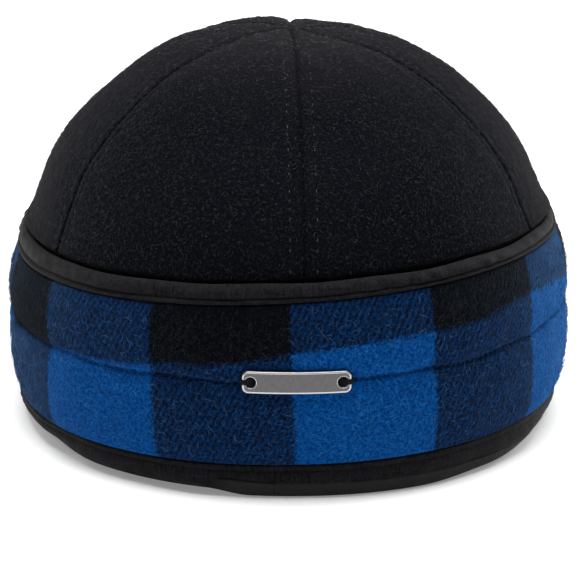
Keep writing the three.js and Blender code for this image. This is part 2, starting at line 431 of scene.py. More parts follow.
def add_node(tree, kind, inputs, output=0, **settings):
    """Adds a node and gives one of its outputs."""
    node = tree.nodes.new(f"ShaderNode{kind}")
    for key, value in settings.items():
        setattr(node, key, value)
    set_inputs(node, inputs)
    return Value(node.outputs[output])


def noise(vector, scale, detail=2.0, roughness=0.5, distortion=0.0):
    inputs = {"Vector": vector, "Scale": scale, "Detail": detail, "Roughness": roughness}
    return add_node(vector.tree, "TexNoise", {**inputs, "Distortion": distortion})


def stretched(vector, scales):
    return add_node(vector.tree, "VectorMath", {0: vector, 1: scales}, operation="MULTIPLY")


def remap(value, low, high, to_low=0.0, to_high=1.0, kind="SMOOTHSTEP"):
    inputs = {"Value": value, "From Min": low, "From Max": high, "To Min": to_low, "To Max": to_high}
    return add_node(value.tree, "MapRange", inputs, interpolation_type=kind)


def mix(share, *colours):
    first, second = (colour if isinstance(colour, Value) else (*colour, 1) for colour in colours)
    return add_node(share.tree, "Mix", {0: share, 6: first, 7: second}, 2, data_type="RGBA")


def bump(height, strength, distance, under=None):
    """A surface normal from a height, over another one if it is given."""
    inputs = {"Height": height, "Strength": strength, "Distance": distance}
    return add_node(height.tree, "Bump", {**inputs, "Normal": under} if under else inputs)


def cloth_place(tree):
    return add_node(tree, "Attribute", {}, "Vector", attribute_name="cloth")


def object_place(tree):
    return add_node(tree, "TexCoord", {}, "Object")


def parts(place):
    """The three parts of a place."""
    first = add_node(place.tree, "SeparateXYZ", {0: place})
    return [Value(socket) for socket in first.socket.node.outputs]


def surface(colour, roughness, specular, sheen=None, normal=None, **others):
    """The inputs of a surface. sheen is its weight, its roughness and its tint."""
    inputs = {"Base Color": colour, "Roughness": roughness, "Specular IOR Level": specular}
    if sheen:
        inputs["Sheen Weight"], inputs["Sheen Roughness"], inputs["Sheen Tint"] = sheen
    if normal:
        inputs["Normal"] = normal
    return {**inputs, **others}


def make_material(name, recipe, *colours):
    material = bpy.data.materials.new(name)
    material.use_nodes = True
    set_inputs(material.node_tree.nodes["Principled BSDF"], recipe(material.node_tree, *colours))
    return material


STRAND_THINNESS = 0.055
WARM_SHEEN, BLUE_SHEEN, TAPE_SHEEN = (1.0, 0.97, 1.0, 1), (0.45, 0.72, 1.0, 1), (1.0, 0.98, 1.0, 1)
DEFAULT_SPECULAR = 0.5

# How far up a crown panel a painted highlight starts to make the nap paler and where it ends, and how
# strong it is
TOP_OF_CROWN, TOP_PAINTED_HIGHLIGHT = (115.0, 185.0), 0.3


def strands(place, scale):
    """Short curly fibres: thin lines along the middle value of a noise, broken up by another."""
    from_line = abs(noise(place, scale, 1.0, 0.5, 1.2) - 0.5)
    gaps = remap(noise(place, scale * 0.8, 2.0, 0.6), 0.46, 0.6)
    return remap(from_line, 0.0, STRAND_THINNESS, 1.0, 0.0) * gaps


def black_melton(tree):
    """Black wool cloth with a short nap that runs up each panel, painted shade along its seams and a
    painted highlight towards the top of the crown.
    """
    place = cloth_place(tree)
    combed = stretched(place, (1.0, 0.85, 1.0))
    grain = noise(combed, 1.7, 3.0, 0.7)
    fibres = strands(combed, 1.2)
    deep = mix(noise(place, 0.06), (0.0008, 0.0013, 0.0028), (0.002, 0.0024, 0.0038))
    lit = mix(remap(grain, 0.38, 0.64), deep, (0.0052, 0.0056, 0.0082))
    # Painted highlight: the nap is made paler towards the top of the crown, where the top light falls.
    with_painted_light = mix(remap(parts(place)[1], *TOP_OF_CROWN, 0.0, TOP_PAINTED_HIGHLIGHT), lit, (0.03, 0.0285, 0.031))
    tipped = mix(fibres * 0.45, with_painted_light, (0.042, 0.042, 0.048))
    # Painted shade: a near-black line along each seam's crease, broken up by the grain.
    seam_shade = add_node(tree, "Attribute", {}, "Fac", attribute_name="seam_shade")
    broken_seam_shade = seam_shade * remap(grain, 0.35, 0.62, 0.7, 0.15)
    colour = mix(broken_seam_shade, tipped, (0.0006, 0.0008, 0.0014))
    relief = bump(grain, 1.0, 0.0004, bump(fibres, 0.6, 0.0002))
    return surface(colour, 0.95, 0.02, (0.07, 0.18, WARM_SHEEN), relief)


def square_wave(value, wobble=0.0):
    """1 on the blue stretches of a warp or weft, and 0 on the black ones, with soft edges."""
    swing = (value * (math.pi / CHECK)).maths("SINE")
    return remap(swing * (CHECK / math.pi) + wobble, -1.0, 1.0)


def check_cloth(tree):
    """Brushed twill wool, woven in blue and black stripes both ways, with painted sheen that makes its blue
    paler at the cap's left and right sides.
    """
    place = cloth_place(tree)
    across, up, _ = parts(place)
    fray = (noise(place, 0.9, 3.0, 0.7) - 0.5) * 5.2
    warp, weft = square_wave(across, fray), square_wave(up * -1.0, fray)
    both = warp * weft
    either = warp + weft - (both + both)

    drift = (noise(place, 0.4, 3.0) - 0.5) * 2.4
    twill = ((across - up * TWILL_SLANT + drift) * (TURN / TWILL)).maths("SINE")
    hairs = noise(stretched(place, (1.0, 0.75, 1.0)), 0.95, 4.0, 0.75, 0.8)
    raised = twill * 0.17 + hairs * 2.4
    on_top = remap(raised, 0.85, 1.65, 0.06, 0.46)
    blue_share = both + either * on_top

    mottle = remap(noise(place, 0.9, 4.0, 0.75), 0.38, 0.62)
    blue = mix(mottle, (0.0006, 0.026, 0.13), (0.0014, 0.077, 0.315))
    black = mix(hairs, (0.0008, 0.001, 0.002), (0.0038, 0.0043, 0.0065))
    woven = mix(blue_share, black, blue)

    long_fuzz = strands(stretched(place, (1.0, 0.7, 1.0)), 0.8)
    short_fuzz = strands(stretched(place, (-0.9, 1.1, 1.0)), 1.15)
    fuzz = long_fuzz.maths("MAXIMUM", short_fuzz * 0.8)
    pale = mix(blue_share, (0.024, 0.028, 0.038), (0.03, 0.235, 0.58))
    # Painted sheen: the blue threads grow paler and fuzzier around the cap's left and right sides, where
    # the side lights graze them.
    brushing_and_side_sheen = remap(abs(abs(across) - SIDE_SHEEN_MIDDLE), 0.0, SIDE_SHEEN_SPREAD, 1.0, 0.0)
    tufts = remap(noise(place, 0.16, 3.0, 0.6), 0.35, 0.65, 0.22, 0.5)
    painted_side_sheen = brushing_and_side_sheen * warp.maths("MAXIMUM", weft)
    with_painted_light = mix(painted_side_sheen * SIDE_SHEEN_STRENGTH, woven, (0.075, 0.2, 0.44))
    colour = mix(fuzz * (tufts + painted_side_sheen * 0.3), with_painted_light, pale)
    relief = bump(raised, 0.8, 0.00045, bump(fuzz, 0.6, 0.0003))
    return surface(colour, 0.9, 0.02, (0.08, 0.2, BLUE_SHEEN), relief)


def check_fibres(tree):
    """The check wool's loose fibres. Each has the colour of one thread, of the warp or of the weft."""
    across, up, chance = parts(cloth_place(tree))
    warp, weft = square_wave(across), square_wave(up * -1.0)
    of_warp = chance.maths("GREATER_THAN", 0.5)
    own = add_node(tree, "Mix", {0: of_warp, 2: weft, 3: warp})
    dyed = mix(warp * weft, (0.068, 0.145, 0.3), (0.025, 0.23, 0.58))
    pale = mix(own, (0.032, 0.032, 0.038), dyed)
    dark = mix(own, (0.006, 0.006, 0.008), (0.002, 0.045, 0.19))
    shade = (chance * 2.0).maths("FRACT")
    return surface(mix(shade, dark, pale), 0.8, 0.05)


def melton_fibres(tree):
    """The black wool's loose fibres, made paler at the top of the crown by a painted highlight."""
    _, up, chance = parts(cloth_place(tree))
    # Painted highlight: the fibres are paler towards the top of the crown.
    pale = mix(remap(up, *TOP_OF_CROWN), (0.066, 0.064, 0.071), (0.2, 0.192, 0.205))
    return surface(mix(chance, (0.003, 0.003, 0.004), pale), 0.8, 0.05)


def charcoal_satin(tree):
    """Charcoal tape with a fine warp, a little fluff and a plainer edge strip, lightened with painted
    reflection.
    """
    place = cloth_place(tree)
    threads = noise(stretched(place, (1.7, 0.2, 1.0)), 1.0, 2.0, 0.6)
    clouds = noise(place, 0.2, 4.0, 0.65)
    specks = noise(place, 1.0, 3.0, 0.75)
    dark = mix(remap(clouds, 0.3, 0.7), (0.0008, 0.0008, 0.0012), (0.0072, 0.0068, 0.008))
    ribbed = mix(remap(threads, 0.42, 0.62, 0.0, 0.85), dark, (0.0105, 0.01, 0.0115))
    fluffy = mix(remap(specks, 0.5, 0.7, 0.0, 0.55), ribbed, (0.026, 0.0248, 0.027))
    # Painted reflection: the strip below the hem's fold is plainer and lighter, standing in for the white
    # floor's reflection on it.
    smooth = mix(clouds, (0.014, 0.0136, 0.0136), (0.024, 0.0232, 0.023))
    colour = mix(parts(place)[2], fluffy, smooth)
    roughness = remap(threads, 0.3, 0.7, 0.62, 0.78, "LINEAR")
    relief = bump(threads, 0.6, 0.0003, bump(specks, 0.8, 0.0004))
    return surface(colour, roughness, 0.05, (0.045, 0.3, TAPE_SHEEN), relief)


def sewing_thread(tree, dark, pale):
    """Sewing thread with its twist."""
    twist = noise(object_place(tree), 3000.0, 2.0, 0.6)
    return surface(mix(twist, dark, pale), 0.7, 0.1, normal=bump(twist, 0.5, 0.0001))


def brushed_metal(tree):
    """Grey metal, brushed along the plate."""
    place = object_place(tree)
    brushing_and_side_sheen = noise(stretched(place, (600.0, 600.0, 9000.0)), 1.0, 3.0, 0.7)
    grain = brushing_and_side_sheen * 0.6 + noise(place, 900.0, 3.0, 0.7) * 0.4
    colour = mix(remap(grain, 0.35, 0.65), (0.088, 0.085, 0.088), (0.118, 0.114, 0.117))
    roughness = remap(grain, 0.3, 0.7, 0.32, 0.48, "LINEAR")
    return surface(colour, roughness, DEFAULT_SPECULAR, normal=bump(grain, 0.25, 0.00005), Metallic=1.0)


def polished_metal(tree):
    """The plate's polished bevel."""
    wear = noise(object_place(tree), 1500.0, 3.0, 0.6)
    colour = mix(wear, (0.38, 0.375, 0.38), (0.6, 0.59, 0.6))
    roughness = remap(wear, 0.3, 0.7, 0.3, 0.42, "LINEAR")
    return surface(colour, roughness, DEFAULT_SPECULAR, Metallic=1.0)


melton = make_material("black_melton", black_melton)
check_wool = make_material("check_wool", check_cloth)
check_fluff = make_material("check_fluff", check_fibres)
melton_fluff = make_material("melton_fluff", melton_fibres)
satin = make_material("charcoal_satin", charcoal_satin)
thread = make_material("black_thread", sewing_thread, (0.002, 0.002, 0.003), (0.009, 0.009, 0.011))
# The crown's topstitching thread is black; its paler colours here are a painted highlight on it.
painted_highlight_thread = make_material("painted_highlight_thread", sewing_thread, (0.02, 0.019, 0.02), (0.09, 0.086, 0.09))
plate_face = make_material("brushed_plate", brushed_metal)
plate_edge = make_material("polished_edge", polished_metal)

# Fluff: its fibres' shortest and longest, their rise, their material and their slot
CHECK_FLUFF = (1.5, 4.2), 0.6, check_fluff, "check_wool"
MELTON_FLUFF = (0.8, 2.2), 0.45, melton_fluff, "melton_wool"


# Camera, at the photograph's angle. The cap's middle lies a little off the picture's.
PICTURE = 580
SENSOR = 36.0
AIM_HEIGHT = 40.0
AIM_PIXEL = (288.5, 288.0)
FOCAL_PIXELS = 2787.0
CAMERA_DISTANCE = 1000.0
CAMERA_AZIMUTH, CAMERA_ELEVATION = math.radians(-1.3), math.radians(15.0)


def add_camera():
    data = bpy.data.cameras.new("camera")
    camera = link("camera", data)
    data.sensor_width = SENSOR
    data.lens = FOCAL_PIXELS / PICTURE * SENSOR
    data.shift_x = (PICTURE / 2 - AIM_PIXEL[0]) / PICTURE
    data.shift_y = (AIM_PIXEL[1] - PICTURE / 2) / PICTURE
    level = math.cos(CAMERA_ELEVATION)
    sideways = math.sin(CAMERA_AZIMUTH) * level
    away = -math.cos(CAMERA_AZIMUTH) * level
    back = Vector((sideways, away, math.sin(CAMERA_ELEVATION)))
    aim = Vector((0.0, MIDDLE_Y, AIM_HEIGHT)) * MM
    camera.location = aim + back * CAMERA_DISTANCE * MM
    turn_to(camera, aim)
    bpy.context.scene.camera = camera


add_camera()


# The band's upper edge. Past the cap's right side it is lower and leans in.
TOP_DROP, LEAN_IN = 2.8, 2.3
RIGHT_SIDE, RIGHT_SPREAD = math.radians(100), math.radians(34)
NARROW_LEFT = 0.8
LEFT_SIDE, LEFT_SPREAD = math.radians(-55), math.radians(35)


def leaning(height, lean, angle):
    return height + lean * np.sin(angle)


def at_right(angle):
    return bell(angle - RIGHT_SIDE, RIGHT_SPREAD)


def band_top(angle):
    return leaning(BAND_TOP, BAND_TOP_LEAN, angle) - TOP_DROP * at_right(angle)


def binding_top(angle):
    top = leaning(BINDING_TOP, BINDING_TOP_LEAN, angle) - TOP_DROP * at_right(angle)
    return top - NARROW_LEFT * bell(angle - LEFT_SIDE, LEFT_SPREAD)


# Crown: its outline above the shoulder. The first value is a share of the height between the
# shoulder and the top, and the second a share of the half width.
DOME_ROWS = [
    (0.0, 1.0), (0.1, 0.986), (0.2, 0.961), (0.31, 0.924), (0.42, 0.872), (0.54, 0.799),
    (0.65, 0.716), (0.75, 0.626), (0.84, 0.525), (0.91, 0.416), (0.96, 0.29), (0.99, 0.15),
    (1.0, 0.002),
]
SEAM_COLUMNS = [
    0.0, 0.15, 0.35, 0.6, 0.9, 1.3, 1.8, 2.4, 3.0, 3.5, 3.9, 4.15, 4.4, 4.65, 4.9, 5.3, 5.9, 6.7,
]
TOPSTITCH_AWAY = 4.4
TOPSTITCH_COLUMN = SEAM_COLUMNS.index(TOPSTITCH_AWAY)
TOPSTITCH_END = 9.0
PANEL_COLUMNS = 100
SEAM_SLIT = 0.03
ALLOWANCE = 0.5
CROWN_ROW, HIDDEN_ROWS = 0.85, 8
CROWN_SEEN_FROM = 58.0
CROWN_ARCS = arc_table(CROWN_HALF_WIDTH)

# Painted shade along each seam's crease: its width, and how strong it is where the fluff begins
SEAM_SHADE_SPREAD, SEAM_SHADE_BARE = 0.75, 0.9

# How far the crown has settled near its top: all over, on its right half and in a dent
SETTLED = (92.0, 25.0)
SETTLING, RIGHT_SETTLING, RIGHT_GROWTH = 0.65, 0.35, 20.0
DENT, DENT_PLACE, DENT_SPREAD = 1.1, 11.0, 13.0
SEAMS_DEEPEN = (118.0, 16.0)
APEX_PIT, APEX_START, APEX_GROWTH = -1.6, 1.5, 6.0

# Where the crown meets the binding: over it at the sides, inside it elsewhere
FLARE, FLARE_LENGTH = 2.4, 3.2
INSIDE_BINDING = 0.8

climb, reach = np.array(DOME_ROWS).T
dome_heights = SHOULDER_HEIGHT + climb * (CROWN_HEIGHT - SHOULDER_HEIGHT)
wall_line = [[CROWN_HALF_WIDTH, CROWN_BOTTOM], [CROWN_HALF_WIDTH, (CROWN_BOTTOM + SHOULDER_HEIGHT) / 2]]
crown_points = np.concatenate([wall_line, np.stack([reach * CROWN_HALF_WIDTH, dome_heights], axis=-1)])
crown_length = step_lengths(crown_points).sum()
hidden_share = (CROWN_SEEN_FROM - CROWN_BOTTOM) / crown_length
seen_rows = int((1 - hidden_share) * crown_length / CROWN_ROW)
crown_shares = np.concatenate([
    np.linspace(0, hidden_share, HIDDEN_ROWS)[:-1],
    np.linspace(hidden_share, 1, seen_rows),
])
crown_line = smooth_line(crown_points, crown_shares)
crown_rise = crown_shares * crown_length


def crown_columns(half_arc):
    """Distances from the nearer seam over half a row of a panel, fine beside the seam."""
    seam = np.array(SEAM_COLUMNS)
    seam = seam * min(1.0, half_arc / (1.5 * seam[-1]))
    return np.concatenate([seam, np.linspace(seam[-1], half_arc, PANEL_COLUMNS // 2)[1:]])


def risen(height, start, growth):
    """0 below a height, 1 above it, and soft between."""
    return ease((height - start) / growth)


def crown_settling(places):
    """The crown has sunk a little at the top, mostly right of its middle."""
    across, height = places[..., 0], places[..., 2]
    dent = DENT * bell(across - DENT_PLACE, DENT_SPREAD)
    depth = SETTLING + RIGHT_SETTLING * ease(across / RIGHT_GROWTH) + dent
    return -risen(height, *SETTLED) * depth


def crown_flare(places, angle):
    """The crown lies over the binding at both sides, and goes down inside it elsewhere."""
    above = places[..., 2] - binding_top(angle)
    side = np.abs(np.sin(angle)) ** 3
    over = risen(above, -1.0, 1.6)
    fading = np.exp(-np.maximum(above - 0.6, 0.0) / FLARE_LENGTH)
    return FLARE * side * over * fading - INSIDE_BINDING * (1 - over)


def crown_relief(away, rise, places):
    """How far the cloth stands off the plain crown: seams, topstitching and soft waves."""
    height = places[..., 2]
    near_top = risen(height, *SEAMS_DEEPEN)
    dip = (0.1 + 0.8 * near_top) * bell(away, 4.5)
    seam = (0.6 + 0.3 * near_top) * bell(away, 0.6 + 0.3 * near_top)
    allowance = 0.07 * bell(away - 2.3, 1.2)
    groove = 0.1 * bell(away - TOPSTITCH_AWAY, 0.4)
    pucker = 0.07 * np.sin(TURN * rise / 7.3 + ripple(places, 30.0, 5)) * bell(away - 5.0, 4.0)
    waves = 0.4 * ripple(places, 55.0, 7) + (0.07 + 0.1 * near_top) * ripple(places, 12.0, 8)
    nap = 0.05 * ripple(places, 3.2, 9)
    above_binding = risen(height, BINDING_TOP + 2.0, 12.0)
    return allowance - dip - seam - groove + (pucker + waves) * above_binding + nap


topstitch_lines = []
fluff_parts = []


def crown_panel(index):
    name = PANELS[index]
    turns = SEAM_TURNS + SEAM_TURNS[:1]
    seams = [math.radians(turns[number]) + number * TURN / len(PANELS) for number in (index, index + 1)]
    first, last = np.interp(seams, ARC_ANGLES, CROWN_ARCS)
    rows = []
    for radius, height in crown_line:
        reach = radius / CROWN_HALF_WIDTH
        half_arc = reach * (last - first) / 2
        half = crown_columns(half_arc)
        arc = np.concatenate([half, 2 * half_arc - half[-2::-1]])
        slit = min(SEAM_SLIT, half_arc * 0.02)
        arc_here = first + np.clip(arc, slit, 2 * half_arc - slit) / reach
        angle = np.interp(arc_here, CROWN_ARCS, ARC_ANGLES)
        row = around(radius, angle, height, EXTRA_LENGTH * reach)
        climbed = max(0.0, (height - SHOULDER_HEIGHT) / (CROWN_HEIGHT - SHOULDER_HEIGHT))
        row[:, 0] += APEX_SIDEWAYS * climbed
        rows.append((row, np.concatenate([half, half[-2::-1]]), arc - half_arc, angle))
    base, aways, sides, angles = (np.array(values) for values in zip(*rows))

    rise = np.broadcast_to(crown_rise[:, None], aways.shape)
    relief = crown_relief(aways, rise, base) + crown_settling(base) + crown_flare(base, angles)
    off_apex = risen(crown_line[:, :1], APEX_START, APEX_GROWTH)
    relief = relief * off_apex + APEX_PIT * (1 - off_apex)
    straight_up = np.array([0.0, 0.0, 1.0])
    normals = unit(surface_normals(base) * off_apex[..., None] + straight_up * (1 - off_apex[..., None]))
    outer = base + normals * relief[..., None]
    inner = outer - normals * CROWN_WALL
    for edge, beside in ((0, 1), (-1, -2)):
        beyond = unit(outer[:, edge] - outer[:, beside])
        inner[:, edge] += beyond * np.minimum(ALLOWANCE, 0.1 * crown_line[:, :1])
    tip = inner[-1].mean(axis=0)
    inner[-1] = tip + (inner[-1] - tip) * 0.1
    inner[0, :, 2] = outer[0, :, 2] = CROWN_BOTTOM

    points, faces, kept = wall_mesh(outer, inner, 8)
    places = np.stack([sides, rise, np.full_like(sides, index * 60.0)], axis=-1)
    # A mask for the painted shade along each seam's crease. No fluff grows where it is strongest.
    seam_shade = bell(aways, SEAM_SHADE_SPREAD)
    fluff_parts.append(scatter(outer, np.concatenate([places, seam_shade[..., None]], axis=-1), CROWN_FLUFF))
    cloth = np.tile(places.reshape(-1, 3), (2, 1))[kept]
    piece = add_piece(f"crown_{name}", points, faces, melton, "melton_wool", cloth)
    # The mask goes on the piece as an attribute, for the painted seam shade.
    dark = piece.data.attributes.new("seam_shade", "FLOAT", "POINT")
    dark.data.foreach_set("value", np.tile(seam_shade.ravel(), 2)[kept])
    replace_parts(piece, f"crown_panel_{name}")
    sewn = (crown_line[:, 1] > BAND_TOP) & (crown_line[:, 0] > TOPSTITCH_END)
    for column in (TOPSTITCH_COLUMN, outer.shape[1] - 1 - TOPSTITCH_COLUMN):
        topstitch_lines.append((outer[sewn, column], normals[sewn, column]))


for panel_index in range(len(PANELS)):
    crown_panel(panel_index)

roots, normals, places = (np.concatenate(values) for values in zip(*fluff_parts))
tape_top = BINDING_TOP + 1.5 + BINDING_TOP_LEAN * roots[:, 0] / CROWN_HALF_WIDTH
kept = (roots[:, 2] > tape_top) & (places[:, 3] < SEAM_SHADE_BARE)
add_fluff("crown_fluff", roots, normals, places, kept, *MELTON_FLUFF)

stitches = stitch_mesh(topstitch_lines, pitch=3.4, length=1.5, width=0.36, sink=0.03, uneven=0.13)
add_piece("crown_topstitch", *stitches, painted_highlight_thread, "melton_wool")


# Band. along runs from the bottom edge, 0, over the quilting line, 1, to the top edge, 2. The
# second value is the share of the widest air space that the band stands off the crown.
BAND_FACE = [
    (0.0, 0.18), (0.22, 0.72), (0.5, 1.0), (0.82, 0.94), (1.0, 0.7), (1.18, 0.93), (1.45, 1.0),
    (1.75, 0.62), (2.0, 0.0),
]
BAND_BACK = [(2.0, 0.0), (1.45, 0.8), (0.5, 0.8), (0.0, 0.18)]
BAND_FOOT = CROWN_SEAT + BAND_WALL + BAND_AIR * BAND_FACE[0][1]
HALF_BAND = 27.0
HIDDEN_FROM = 160.0
BAND_COLUMN = 0.72
BAND_ROWS = 66
QUILT_ROWS = [-0.05, -0.036, -0.024, -0.012, 0.012, 0.024, 0.036, 0.05]
BARE_ROWS = (4, -6)
BESIDE_PLATE, ABOVE_PLATE = 3.5, 2.5

# How far the checks have slipped, and on which stretches of the way round. A stretch has a start,
# a growth, an end and a fading, measured from the middle of the back.
CHECK_RISE, CHECK_RISE_SPREAD, CHECK_RISE_PLACE = 1.9, 30.0, 12.0
CHECK_FALL, CHECK_FALLEN = 7.0, (85.0, 70.0, 250.0, 60.0)
CHECK_SHIFT_LEFT, CHECK_SHIFT_RIGHT, CHECK_SHIFTED = 3.4, 2.0, (62.0, 34.0, 240.0, 80.0)


def along_sections(sections):
    """How far along its own section each point lies."""
    steps = np.linalg.norm(np.diff(sections, axis=1), axis=2)
    return np.concatenate([np.zeros((len(sections), 1)), np.cumsum(steps, axis=1)], axis=1)


def band_height(along, angle):
    bottom = leaning(BAND_BOTTOM, BAND_BOTTOM_LEAN, angle)
    quilt = leaning(QUILT_HEIGHT, QUILT_LEAN, angle)
    lower = bottom + (quilt - bottom) * along
    upper = quilt + (band_top(angle) - quilt) * (along - 1)
    return np.where(along < 1, lower, upper)


def smooth_rows(rows, size, count):
    """Points on a smooth curve through rows of shares of a size."""
    return smooth_line(np.array(rows) * size, np.linspace(0, 1, count)) / size


def check_row_edge(arc, angle):
    """The height of the edge between two rows of checks."""
    level = leaning(CHECK_ROW_HEIGHT, CHECK_ROW_LEAN, angle)
    risen_part = CHECK_RISE * bell(arc - CHECK_RISE_PLACE, CHECK_RISE_SPREAD)
    return level + risen_part - CHECK_FALL * stretch(arc, *CHECK_FALLEN)


def check_shift(arc):
    left = CHECK_SHIFT_LEFT * stretch(-arc, *CHECK_SHIFTED)
    return left - CHECK_SHIFT_RIGHT * stretch(arc, *CHECK_SHIFTED)


def make_band():
    count = int(2 * HALF_ROUND / BAND_COLUMN)
    arc = np.linspace(-HALF_ROUND + SEAM_SLIT, HALF_ROUND - SEAM_SLIT, count)[:, None]
    angle = angle_at(arc)
    along = np.concatenate([np.linspace(0, 2, BAND_ROWS), 1 + np.array(QUILT_ROWS)])
    along = np.sort(along)[None, :]
    height = band_height(along, angle)
    flat = around(BAND_WIDEST, angle, height)
    from_quilt = height - leaning(QUILT_HEIGHT, QUILT_LEAN, angle)
    under_plate = ease(1.6 - np.abs(arc) / (PLATE_LENGTH / 2 + 3)) * bell(from_quilt, 7.0)
    groove = -1.1 * bell(from_quilt, 0.8)
    gathers = 0.34 * ripple(flat, 11.0, 21) * bell(from_quilt, 6.0)
    waves = ripples(flat, (0.5, 48.0, 22), (0.16, 17.0, 23))
    nap = 0.09 * ripple(flat, 2.6, 24, 14)
    edges = stretch(along, 0.0, 0.2, 2.0, 0.2)
    relief = (groove + (gathers + waves) * (1 - under_plate)) * edges + nap
    face = smooth_rows(BAND_FACE, [HALF_BAND, BAND_AIR], 400)
    stand = CROWN_SEAT + BAND_WALL + BAND_AIR * np.interp(along, *face.T) + relief
    stand = np.where(under_plate > 0.5, np.minimum(stand, BAND_WIDEST), stand)
    stand = stand - LEAN_IN * at_right(angle) * risen(height, QUILT_HEIGHT, 24.0)
    sway = 0.5 * ripple(arc[..., None], 60.0, 25) * edges
    front = around(stand, angle, height + sway)

    back_along, back_air = np.array(BAND_BACK).T
    back_height = band_height(back_along, angle)
    behind = around(CROWN_SEAT + BAND_AIR * back_air, angle, back_height)

    rise = along_sections(front)
    level = slice(height.shape[1] // 2, height.shape[1] // 2 + 1)
    row_edge = check_row_edge(arc, angle)
    up = rise - rise[:, level] + height[:, level] - row_edge
    checks = round(HALF_ROUND / CHECK / 2) * 2
    spare = (HALF_ROUND - checks * CHECK) * ease((np.abs(arc) - HIDDEN_FROM) / (HALF_ROUND - HIDDEN_FROM))
    across = arc - np.sign(arc) * spare + check_shift(arc) - CHECK_SIDEWAYS
    slanted = across + CHECK_SLANT * (height - QUILT_HEIGHT)
    cloth = np.stack([slanted, up, np.zeros_like(up)], axis=-1)
    fluffy = slice(*BARE_ROWS)
    grids = (values[:, fluffy].transpose(1, 0, 2) for values in (front, cloth))
    roots, normals, places = scatter(*grids, BAND_FLUFF)
    clear = np.abs(roots[:, 0]) >= PLATE_LENGTH / 2 + BESIDE_PLATE
    clear |= roots[:, 1] >= MIDDLE_Y
    clear |= np.abs(roots[:, 2] - QUILT_HEIGHT) >= PLATE_HEIGHT / 2 + ABOVE_PLATE
    add_fluff("earband_fluff", roots, normals, places, clear, *CHECK_FLUFF)

    back_cloth = np.stack(np.broadcast_arrays(across, back_height - row_edge, 40.0), axis=-1)
    cloth = np.concatenate([cloth, back_cloth], axis=1)
    sections = np.concatenate([front, behind], axis=1)
    faces = strip_faces(*sections.shape[:2])
    band = add_piece("earband_cloth", sections, faces, check_wool, "check_wool", cloth)
    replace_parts(band, "earband")


make_band()


# Bindings. Each ring is a tape whose two ends meet in a seam.
RING_COLUMN = 0.9
RING_STITCH = {"pitch": 2.0, "length": 1.3, "width": 0.5, "sink": -0.05}

# The binding over the band's top edge. The first value is the share of the way from the crown
# to the band's face, and the second that of the binding's height.
BINDING_ROWS = [
    (0.3, 0.02), (0.8, 0.0), (1.02, 0.02), (1.07, 0.07), (1.06, 0.14), (0.99, 0.2), (0.88, 0.24),
    (0.84, 0.28), (0.9, 0.34), (0.95, 0.43), (0.93, 0.56), (0.84, 0.72), (0.68, 0.87), (0.48, 0.97),
    (0.33, 1.0), (0.17, 0.94), (0.05, 0.8), (0.02, 0.5), (0.06, 0.1),
]
BINDING_SIZE = (5.0, 6.1)
BINDING_POINTS = 54
BINDING_SEAM = HALF_ROUND * 0.45
BINDING_GROOVE_UP = 0.265


def ring_places(seam_arc):
    """Places round the cap from a seam on, and again measured from the middle of the back."""
    count = int(2 * HALF_ROUND / RING_COLUMN)
    arc = seam_arc + np.linspace(SEAM_SLIT, 2 * HALF_ROUND - SEAM_SLIT, count)[:, None]
    return arc, (arc + HALF_ROUND) % (2 * HALF_ROUND) - HALF_ROUND


def add_tape(name, replaced, sections, arc, angle, groove, strip=0.0):
    """A ring of satin tape, sewn along one of its rows. strip is 1 where its plainer edge shows, which
    painted reflection makes lighter.
    """
    cloth = np.stack(np.broadcast_arrays(arc, along_sections(sections), strip), axis=-1)
    faces = strip_faces(*sections.shape[:2])
    piece = add_piece(name, sections, faces, satin, "satin", cloth)
    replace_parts(piece, replaced)
    line = sections[:, groove]
    outward = unit(line - around(CROWN_SEAT, angle[:, 0], line[:, 2]))
    add_piece(f"{name}_stitches", *stitch_mesh([(line, outward)], **RING_STITCH), thread, "satin")


def make_binding():
    arc, here = ring_places(BINDING_SEAM)
    angle = angle_at(here)
    across, up = smooth_rows(BINDING_ROWS, BINDING_SIZE, BINDING_POINTS).T
    low = band_top(angle) + SEAT_GAP
    height = low + (binding_top(angle) - low) * up
    plain = around(CROWN_SEAT + BAND_WALL * across, angle, height)
    slanted = plain[..., :1] + plain[..., 1:2] + 1.5 * plain[..., 2:]
    creases = 0.17 * ripple(plain * [1.0, 1.0, 0.6], 7.0, 31) + 0.3 * ripple(plain, 38.0, 32)
    creases = creases + 0.18 * ripple(slanted, 13.0, 34)
    outside = ease(across / 0.5)
    roll = ease((up - 0.3) / 0.2)
    stand = CROWN_SEAT + BAND_WALL * across + creases * outside * (0.25 + 0.75 * roll)
    stand = stand - LEAN_IN * at_right(angle) * (0.2 + 0.8 * ease(across))
    sway = 0.35 * ripple(arc[..., None], 45.0, 33)
    sections = around(stand, angle, height + sway * ease(up / 0.8))
    groove = int(np.argmin(np.abs(up - BINDING_GROOVE_UP) + (across < 0.5)))
    add_tape("earband_tape", "earband_binding", sections, arc, angle, groove)


make_binding()


# The hem's face: shares of the tuck under the band and of the hem's height
HEM_ROWS = [
    (1.0, 0.0), (0.62, 0.06), (0.36, 0.16), (0.14, 0.33), (0.02, 0.5), (0.0, 0.68), (0.08, 0.78),
    (0.17, 0.83), (0.06, 0.87), (0.02, 0.93), (0.12, 0.99), (0.3, 1.0),
]
HEM_SIZE = (3.0, 11.4)
HEM_POINTS = 46
HEM_GROOVE_UP = 0.84
HEM_SEAM = -7.4
HEM_LIFT_LEFT, HEM_LIFT_RIGHT, LIFT_TOP = 1.6, 1.3, 8.0
SIDE_TUCK = 3.0
RIGHT_SET_IN = 1.5
FOLD_HEIGHT, FOLD_SLOPE, FOLD_DEPTH = 5.1, 0.055, 0.5
FOLD_LEFT_END = -30.0

